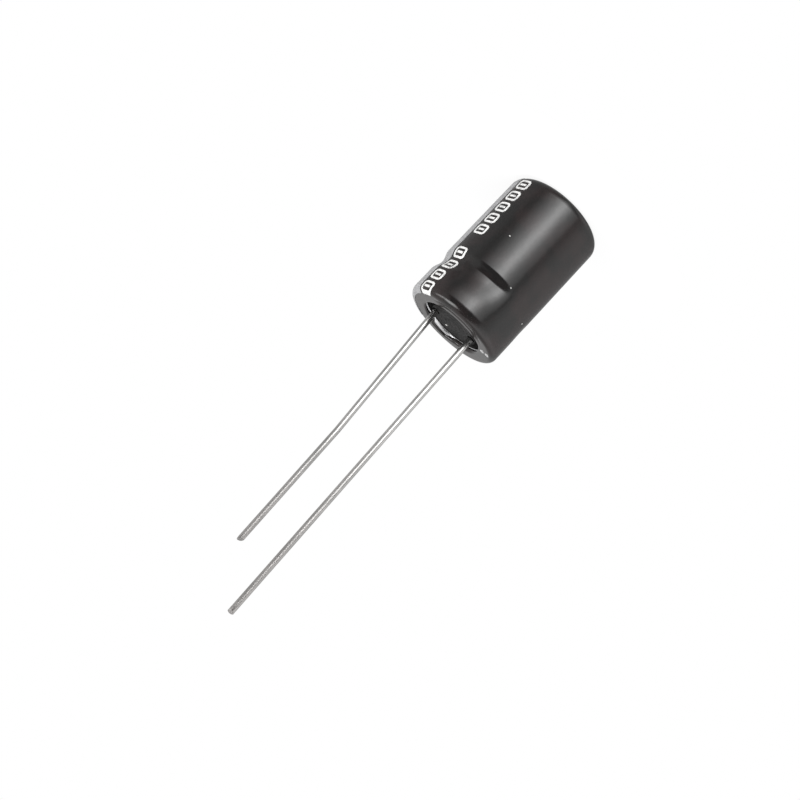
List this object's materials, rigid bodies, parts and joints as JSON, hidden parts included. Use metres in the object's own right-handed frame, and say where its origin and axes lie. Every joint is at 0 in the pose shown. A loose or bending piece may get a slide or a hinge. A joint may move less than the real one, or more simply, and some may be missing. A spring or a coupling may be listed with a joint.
{
  "type": "radial electrolytic capacitor",
  "caption": "Radial electrolytic capacitor: sleeved aluminium can with a beaded, rubber-sealed end, wound foil inside and two tinned wire leads.",
  "frame": {"origin": "middle of the closed head, on the plane that the part stands on", "axes": "+Z along the can towards the leads, +X towards the negative lead"},
  "size_m": [0.0083, 0.0082, 0.0392],
  "materials": {
    "can_metal": "drawn, satin",
    "sleeve_film": "shrunk glossy film",
    "seal_rubber": "moulded, satin",
    "terminal_metal": "pressed",
    "lead_wire": "tinned, bright",
    "anode_metal": "etched, matt grey",
    "cathode_metal": "etched, satin",
    "separator_paper": "soaked paper",
    "tape_film": "clear brown film",
    "print_ink": "light grey ink"
  },
  "bodies": {
    "root": {"can": "can_metal", "sleeve": "sleeve_film", "seal": "seal_rubber", "negative_terminal": "terminal_metal", "positive_terminal": "terminal_metal", "negative_lead": "lead_wire", "positive_lead": "lead_wire", "anode_foil": "anode_metal", "cathode_foil": "cathode_metal", "inner_separator": "separator_paper", "outer_separator": "separator_paper", "winding_tape": "tape_film", "polarity_stripe": "print_ink", "printed_marks": "print_ink"}
  },
  "joints": []
}
